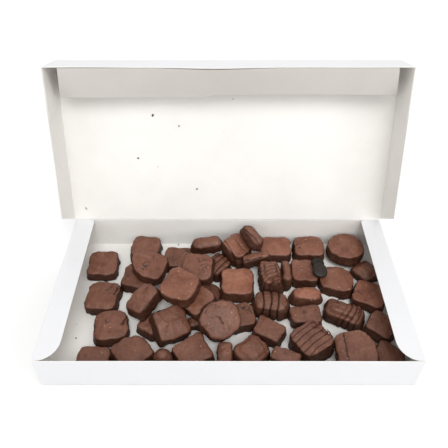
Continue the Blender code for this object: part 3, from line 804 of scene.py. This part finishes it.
# Little curls where the drizzle ran off: the sweet, the place in millimetres, the size
# across, how far round it goes in degrees, and which way it opens.
THREAD = 1.24 * MM          # thickness of the drizzle
THREAD_SIDES = 8
THREAD_RINGS = 18
CURL_LIFT = 0.35 * MM       # of a curl's middle over the coating under it
CURLS = [
    ("striped_05", 81.5, -37.5, 5.0, 330, 200), ("striped_05", 85.5, -39.5, 3.8, 280, 20),
    ("striped_05", 91.5, -43.5, 5.2, 300, 120), ("striped_05", 93.5, -47.0, 4.0, 320, 260),
    ("striped_02", 51.5, 14.5, 5.6, 290, 250), ("striped_02", 47.5, 13.0, 3.4, 260, 60),
    ("striped_03", 111.0, -9.0, 4.6, 250, 30), ("striped_03", 128.0, -19.0, 4.2, 290, 190),
]


def wandering(points, scale, seed):
    """A smooth noise at each point."""
    shift = Vector((seed * 3.7, seed * 1.9, seed * 5.3))
    return np.array([noise.noise(Vector(point) * scale + shift) for point in points])


def to_line(places, x0, y0, x1, y1):
    """The distance of each place from a line between two points."""
    start, along = np.array((x0, y0)), np.array((x1 - x0, y1 - y0))
    share = np.clip(((places - start) @ along) / (along @ along), 0, 1)
    return np.linalg.norm(places - start - share[:, None] * along, axis=1)


def evenly_divided(node, spacing, rounds):
    """A copy of a CAD sweet with evenly spaced points and melted edges."""
    bm = bmesh.new()
    bm.from_mesh(frame["nodes"][node].data)
    bmesh.ops.remove_doubles(bm, verts=bm.verts, dist=1e-6)
    obj = piece_from(node + "_coating", bm, ())
    even = obj.modifiers.new("even", "REMESH")
    even.mode = "VOXEL"
    even.voxel_size = spacing
    apply_modifiers(obj)
    bm = bmesh.new()
    bm.from_mesh(obj.data)
    for _ in range(rounds):
        bmesh.ops.smooth_vert(
            bm, verts=bm.verts, factor=0.5, use_axis_x=True, use_axis_y=True, use_axis_z=True
        )
    bm.to_mesh(obj.data)
    bm.free()
    return obj


def up_of(node):
    """The way a sweet's top faces, found from its foot."""
    down = Vector((0, 0, 0))
    for face in frame["nodes"][node].data.polygons:
        if face.normal.z < -0.7:
            down += face.normal * face.area
    return -down.normalized()


def ribs_height(values, flat, points, facing, seed):
    """Rounded bands of drizzle: high along their middles, with a groove between each two."""
    angle, spacing, width, depth, first, last, bend, down = values
    across = flat @ np.array((cos(radians(angle)), sin(radians(angle))))
    along = flat @ np.array((-sin(radians(angle)), cos(radians(angle))))
    across = across + bend * along * along
    across += RIB_STRAY[1] * wandering(points, RIB_STRAY[0], seed + 4)
    share = (across / spacing) % 1
    groove = np.minimum(share, 1 - share) * spacing
    held = smooth_step(first - 1, first + 1, across) * smooth_step(last + 1, last - 1, across)
    shown = facing + down * (1 - facing)
    return (RIB_CROWN * np.sin(share * pi) - bell(groove / width)) * depth * held * shown


def mark_heights(marks, flat, halves, facing, points, seed):
    """How far every mark moves each point along its normal, in millimetres."""
    rise = np.zeros(len(flat))
    ragged = 1 + RAGGED * wandering(points, 560, seed)
    strayed = flat + STRAY * np.stack(
        (wandering(points, 260, seed + 5), wandering(points, 260, seed + 6)), axis=1
    )
    for mark in marks:
        kind, values = mark[0], mark[1:]
        if kind in ("pit", "bump"):
            x, y, size, depth = values
            gap = np.linalg.norm(strayed - np.array((x, y)) * halves, axis=1)
            torn = ragged if kind == "pit" else 1
            rise += (depth if kind == "bump" else -depth) * bell(gap * torn / size) * facing
        elif kind in ("crack", "ridge"):
            x0, y0, x1, y1, width, depth = values
            gap = to_line(strayed, x0 * halves[0], y0 * halves[1], x1 * halves[0], y1 * halves[1])
            torn = ragged if kind == "crack" else 1
            rise += (depth if kind == "ridge" else -depth) * bell(gap * torn / width) * facing
        elif kind == "grow":
            rise += values[0]
        elif kind == "ribs":
            rise += ribs_height(values, flat, points, facing, seed)
    return rise


def outline_shift(marks, flat, halves, seed):
    """How far each point moves outwards, level, so that the outline is uneven; millimetres."""
    reach = np.linalg.norm(flat, axis=1)
    outward = flat / np.maximum(reach, 0.01)[:, None]
    shift = np.zeros(len(flat))
    for number, (waves, height) in enumerate(OUTLINE_WAVES):
        shift += height * wandering(np.c_[outward * waves, np.zeros(len(flat))], 1.0, seed + 8 + number)
    angles = np.degrees(np.arctan2(flat[:, 1], flat[:, 0])) % 360
    for mark in marks:
        if mark[0] in ("waist", "bulge"):
            angle, breadth, depth = mark[1:]
            turn = np.abs((angles - angle + 180) % 360 - 180)
            shift += (depth if mark[0] == "bulge" else -depth) * bell(turn / breadth / 1.6)
    share = smooth_step(0.2, 0.95, reach / halves.min())
    return outward * (shift * share)[:, None]


def fall_away(marks, flat, halves, facing):
    """How far the slopes lower each point of the top, in millimetres."""
    fall = np.zeros(len(flat))
    for mark in marks:
        if mark[0] == "slope":
            x, y, angle, depth = mark[1:]
            along = np.array((cos(radians(angle)), sin(radians(angle))))
            beyond = (flat - np.array((x, y)) * halves) @ along
            fall += depth * np.clip(beyond / (0.7 * halves.min()), 0, 1.3) * facing
    return fall


def make_sweet(node, seed):
    """The coating of one sweet, moved out from a copy of its plain form and marked."""
    tone, marks = SWEETS[node]
    chip = node.startswith("chip")
    fine = node.startswith(("striped", "barrel", "chip"))
    rounds = SOFTEN + sum(mark[1] for mark in marks if mark[0] == "melt")
    obj = evenly_divided(node, FINE if fine else PLAIN, rounds)
    mesh = obj.data
    points = np.zeros(len(mesh.vertices) * 3)
    mesh.vertices.foreach_get("co", points)
    points = points.reshape(-1, 3)
    normals = np.array([v.normal[:] for v in mesh.vertices])
    low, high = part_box(node)
    halves = np.array((high - low) / 2)[:2] / MM
    flat = (points - np.array((low + high) / 2))[:, :2] / MM
    up = np.array(up_of(node))
    heights = points @ up
    share = (heights - heights.min()) / (heights.max() - heights.min())
    upward = normals @ up
    facing = smooth_step(0.25, 0.75, upward)
    sides = smooth_step(0.85, 0.4, np.abs(upward))

    coat = np.full(len(points), COAT)
    for number, (waves, height, more) in enumerate(COAT_WAVES):
        coat += (height + more * sides) * wandering(points, waves, seed + number)
    foot = FOOT_FLARE + FOOT_WAVES[1] * wandering(points, FOOT_WAVES[0], seed + 3)
    foot *= bell((share - FOOT_AT) / FOOT_HALF) * sides
    coat = coat * CHIP_COAT if chip else coat + foot
    marked = mark_heights(marks, flat, halves, facing, points, seed)
    fall = fall_away(marks, flat, halves, smooth_step(0.25, 0.9, share))
    moved = points + (normals * (coat + marked)[:, None] - up * fall[:, None]) * MM
    if not chip:
        moved[:, :2] += outline_shift(marks, flat, halves, seed) * MM
    mesh.vertices.foreach_set("co", np.clip(moved, ROOM_LOW, ROOM_HIGH).ravel())

    # painted shade for the pits and cracks, darkest at DARK_DEPTH and weaker on the sides
    hollow_shade = np.clip(-marked / DARK_DEPTH, 0, 1) * np.clip(facing + 0.8, 0, 1)
    if not fine:
        hollow_shade *= 1 - 0.8 * sides
    # painted shade: the sides are painted darker than the top, and the foot darker still, on top of the
    # sweet's own tone
    tone_with_painted_shade = tone * (1 - SIDE_PAINTED_SHADE * sides * (CHIP_SIDE if chip else 1))
    tone_with_painted_shade *= 1 - FOOT_PAINTED_SHADE * bell(share / FOOT_SHADE) * sides
    for label, values in (("hollow_shade", hollow_shade), ("tone", tone_with_painted_shade)):
        mesh.attributes.new(label, "FLOAT", "POINT").data.foreach_set("value", values)
    shade_smooth(mesh)
    mesh.materials.append(DARK if chip else MILK)
    mesh.update()
    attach(obj, "tray")
    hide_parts(node)


def joined(name, parts, material, body, tone=0.75):
    """One piece of many small closed meshes, all of one tone."""
    whole = bmesh.new()
    for part in parts:
        mesh = bpy.data.meshes.new("part")
        part.to_mesh(mesh)
        part.free()
        whole.from_mesh(mesh)
        bpy.data.meshes.remove(mesh)
    bmesh.ops.recalc_face_normals(whole, faces=whole.faces)
    obj = piece_from(name, whole, (material,))
    count = len(obj.data.vertices)
    obj.data.attributes.new("tone", "FLOAT", "POINT").data.foreach_set("value", [tone] * count)
    shade_smooth(obj.data)
    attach(obj, body)


def curl(centre, size, around, opening, seed):
    """A short round thread bent nearly into a ring, thinner towards its ends."""
    bm = bmesh.new()
    bmesh.ops.create_cone(
        bm, cap_ends=True, segments=THREAD_SIDES, radius1=THREAD / 2, radius2=THREAD / 2, depth=1
    )
    for step in range(1, THREAD_RINGS):
        cut(bm, (0, 0, step / THREAD_RINGS - 0.5), (0, 0, 1))
    for vert in bm.verts:
        share = vert.co.z + 0.5
        angle = radians(opening + around * share)
        outward = Vector((cos(angle), sin(angle), 0))
        wave = 1 + 0.3 * noise.noise(Vector((share * 3, seed, 0.5)))
        thick = max(0.25, min(1.0, 4 * share, 4 * (1 - share)))
        out = size / 2 * wave * MM + thick * vert.co.x
        up = 0.8 * MM * noise.noise(Vector((share * 4, seed, 4.5))) + thick * vert.co.y
        vert.co = centre + outward * out + Vector((0, 0, up))
    return bm


def make_curls():
    """The loops of drizzle, each laid on the finished coating under it."""
    parts = []
    for number, (node, x, y, size, around, opening) in enumerate(CURLS):
        place = Vector((x * MM, y * MM, 0))
        near = [v.co.z for v in bpy.data.objects[node + "_coating"].data.vertices
                if (v.co.xy - place.xy).length < size / 3 * MM]
        place.z = max(near) + CURL_LIFT
        parts.append(curl(place, size, around, opening, number + 0.5))
    joined("drizzle_curls", parts, MILK, "tray", 0.5)


# ---------------------------------------------------------------- crumbs

# The loose crumbs: the place in millimetres and the size across. On the tray's floor the
# place is left to right and front to back; on the lid it is left to right and up the panel.
CRUMB_ROUGH = 0.55
CRUMB_FLAT = 0.7            # height against width
CRUMB_LIFT = 0.28           # of a crumb's middle over the board, against its size
FLOOR_CRUMBS = [
    (-57.0, 83.8, 1.4), (-148.3, -38.8, 1.5), (-151.4, -23.0, 0.8), (-96.0, -44.0, 0.9),
    (-20.0, -6.5, 0.8), (118.0, 12.5, 0.8), (-61.0, 63.0, 0.6), (-103.5, 70.0, 0.5), (83.0, -12.0, 0.7),
    (-43.0, -41.0, 1.0), (12.5, 51.5, 0.9), (14.0, 47.0, 0.7), (61.0, -14.0, 0.9), (108.0, 68.0, 0.6),
]
LID_CRUMBS = [
    (-76.6, 119.3, 1.9), (-77.3, 118.0, 1.2), (-50.4, 107.7, 1.4), (5.2, 135.8, 1.0), (-95.0, 72.7, 1.5),
    (-94.2, 71.8, 0.9), (-74.4, 62.5, 0.8), (-33.3, 36.9, 1.6), (-156.4, 14.1, 1.4), (-155.6, 12.8, 1.0),
    (-38.5, 126.6, 0.6), (-4.0, 101.2, 0.6),
]


def crumb(size, seed):
    """A rough little lump with its middle at the origin."""
    bm = bmesh.new()
    bmesh.ops.create_icosphere(bm, subdivisions=2, radius=size / 2 * MM)
    for vert in bm.verts:
        vert.co *= 1 + CRUMB_ROUGH * noise.noise(vert.co * 1500 + Vector((seed, 0, 0)))
        vert.co.z *= CRUMB_FLAT
    return bm


def make_crumbs():
    """The crumbs on the tray's floor, and those on the inside of the lid."""
    floor = TRAY_LOW.z + BOARD
    on_floor, on_lid = [], []
    for number, (x, y, size) in enumerate(FLOOR_CRUMBS):
        bm = crumb(size, number * 2.3)
        place = Vector((x * MM, y * MM, floor + size * CRUMB_LIFT * MM))
        bmesh.ops.translate(bm, vec=place, verts=bm.verts)
        on_floor.append(bm)
    for number, (x, up, size) in enumerate(LID_CRUMBS):
        bm = crumb(size, number * 1.7 + 40)
        place = Vector((x * MM, -up * MM, LID_TOP - BOARD - size * CRUMB_LIFT * MM))
        turn = lid_turn() @ Matrix.Translation(place)
        bmesh.ops.transform(bm, matrix=turn, verts=bm.verts)
        on_lid.append(bm)
    joined("tray_crumbs", on_floor, DARK, "tray")
    joined("lid_crumbs", on_lid, DARK, "lid")


# ---------------------------------------------------------------- light, floor and camera

LENS = 40.14
LENS_SHIFT = -0.0894
EYE = Vector((-3.06, -310.4, 432.8)) * MM       # from the middle of the tray's underside
LOOK_DOWN = radians(40.67)
LOOK_LEFT = radians(0.13)
LEAN = radians(-0.08)


def make_floor():
    """A pale plain sheet just under the box."""
    bm = bmesh.new()
    bmesh.ops.create_grid(bm, x_segments=1, y_segments=1, size=3.0)
    bmesh.ops.translate(bm, vec=(0, 0, -0.0004), verts=bm.verts)
    material = material_of("studio_floor", PAPER, {
        "Sheet Colour": (0.75, 0.75, 0.75, 1), "Fleck Colour": (0.74, 0.74, 0.74, 1),
        "Fleck Amount": 0.1, "Cloud Amount": 0.0, "Smoothness": 0.9}, 0.02, 0.0001)
    floor = piece_from("floor", bm, (material,))


def lamp(name, kind, place, target, power, **shape):
    """A lamp at a place, turned to a target."""
    light = bpy.data.lights.new(name, kind)
    light.energy = power
    for word, value in shape.items():
        setattr(light, word, value)
    obj = bpy.data.objects.new(name, light)
    bpy.context.scene.collection.objects.link(obj)
    obj.location = place
    obj.rotation_euler = (Vector(target) - Vector(place)).to_track_quat("-Z", "Y").to_euler()


def make_lights():
    """A bright room, a broad soft light high in front, and fills all round."""
    world = bpy.data.worlds.new("studio")
    world.use_nodes = True
    sky = world.node_tree.nodes["Background"]
    sky.inputs["Color"].default_value = (1.0, 0.995, 0.985, 1)
    sky.inputs["Strength"].default_value = 0.70
    bpy.context.scene.world = world
    lamp("high_light", "SUN", (0.12, -0.60, 1.0), (0, 0, 0), 1.58, angle=radians(30))
    lamp("fill", "AREA", (0, -1.25, 0.6), (0, 0.1, 0.1), 0.5, shape="DISK", size=1.2)
    lamp("left_fill", "AREA", (-1.1, -0.8, 0.65), (0.1, 0.1, 0.1), 3.1, shape="DISK", size=1.0)
    lamp("right_fill", "AREA", (1.1, -0.8, 0.65), (-0.1, 0.1, 0.1), 5.4, shape="DISK", size=1.0)
    lamp("rear_fill", "AREA", (0, 0.95, 1.1), (0, 0.15, 0.2), 5.4, shape="DISK", size=1.0)


def make_camera():
    """Above the front of the box, looking down into it."""
    camera = bpy.data.cameras.new("camera")
    camera.lens = LENS
    camera.shift_y = LENS_SHIFT
    camera.clip_start = 0.01
    obj = bpy.data.objects.new("camera", camera)
    bpy.context.scene.collection.objects.link(obj)
    middle = (TRAY_LOW + TRAY_HIGH) / 2
    obj.matrix_world = (
        Matrix.Translation(Vector((middle.x, middle.y, TRAY_LOW.z)) + EYE)
        @ Matrix.Rotation(LOOK_LEFT, 4, "Z") @ Matrix.Rotation(pi / 2 - LOOK_DOWN, 4, "X")
        @ Matrix.Rotation(LEAN, 4, "Z")
    )
    bpy.context.scene.camera = obj


make_camera()
make_lights()
make_floor()
bpy.context.scene.view_settings.view_transform = "Standard"
make_tray()
make_lid()
make_glue_tabs()
make_lid_flap()
for number, node in enumerate(SWEETS):
    make_sweet(node, number + 1)
make_curls()
make_crumbs()
